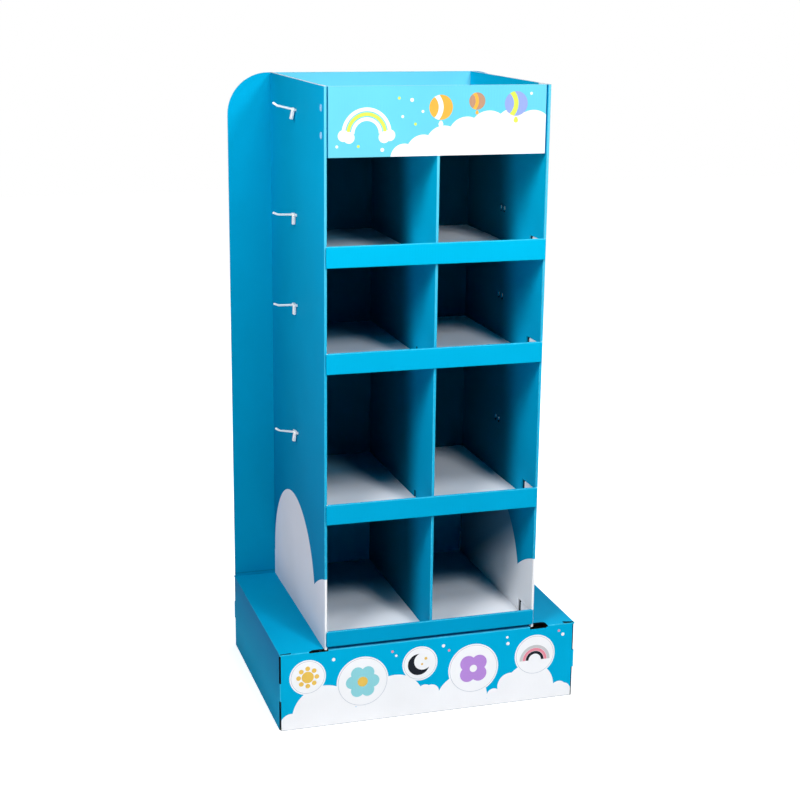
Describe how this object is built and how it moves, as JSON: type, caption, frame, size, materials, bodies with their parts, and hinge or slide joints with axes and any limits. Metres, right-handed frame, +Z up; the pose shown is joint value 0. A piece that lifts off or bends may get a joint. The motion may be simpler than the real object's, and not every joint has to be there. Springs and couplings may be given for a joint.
{
  "type": "cardboard display stand",
  "caption": "Free-standing corrugated display stand: shelf tower with lips and centre dividers on a plinth, wide back board, open top tray and side hooks.",
  "frame": {"origin": "middle of the footprint on the floor", "axes": "+Z up, front faces -Y, +X to the right seen from the front"},
  "size_m": [0.708, 0.517, 1.4255],
  "materials": {
    "blue_board": "printed blue, satin, white inner layer",
    "lip_board": "printed blue lip, white floor, satin",
    "header_board": "printed pale blue, satin",
    "white_board": "unprinted white liner",
    "brown_board": "unprinted kraft liner",
    "hook_plastic": "white moulded plastic",
    "rivet_plastic": "white moulded plastic"
  },
  "bodies": {
    "root": {"base_plinth": "blue_board", "base_rib_left": "brown_board", "base_rib_right": "brown_board", "base_rib_front": "brown_board", "base_rib_rear": "brown_board", "tower_shell": "blue_board", "back_board": "blue_board", "header_panel": "header_board", "top_deck": "white_board", "shelf_bottom": "lip_board", "shelf_lower": "lip_board", "shelf_middle": "lip_board", "shelf_upper": "lip_board", "divider_bottom": "blue_board", "divider_lower": "blue_board", "divider_middle": "blue_board", "divider_top": "blue_board", "hook_left_1": "hook_plastic", "hook_left_2": "hook_plastic", "hook_left_3": "hook_plastic", "hook_left_4": "hook_plastic", "hook_right_1": "hook_plastic", "hook_right_2": "hook_plastic", "hook_right_3": "hook_plastic", "hook_right_4": "hook_plastic", "header_rivets": "rivet_plastic", "rivet_caps": "rivet_plastic"}
  },
  "joints": []
}
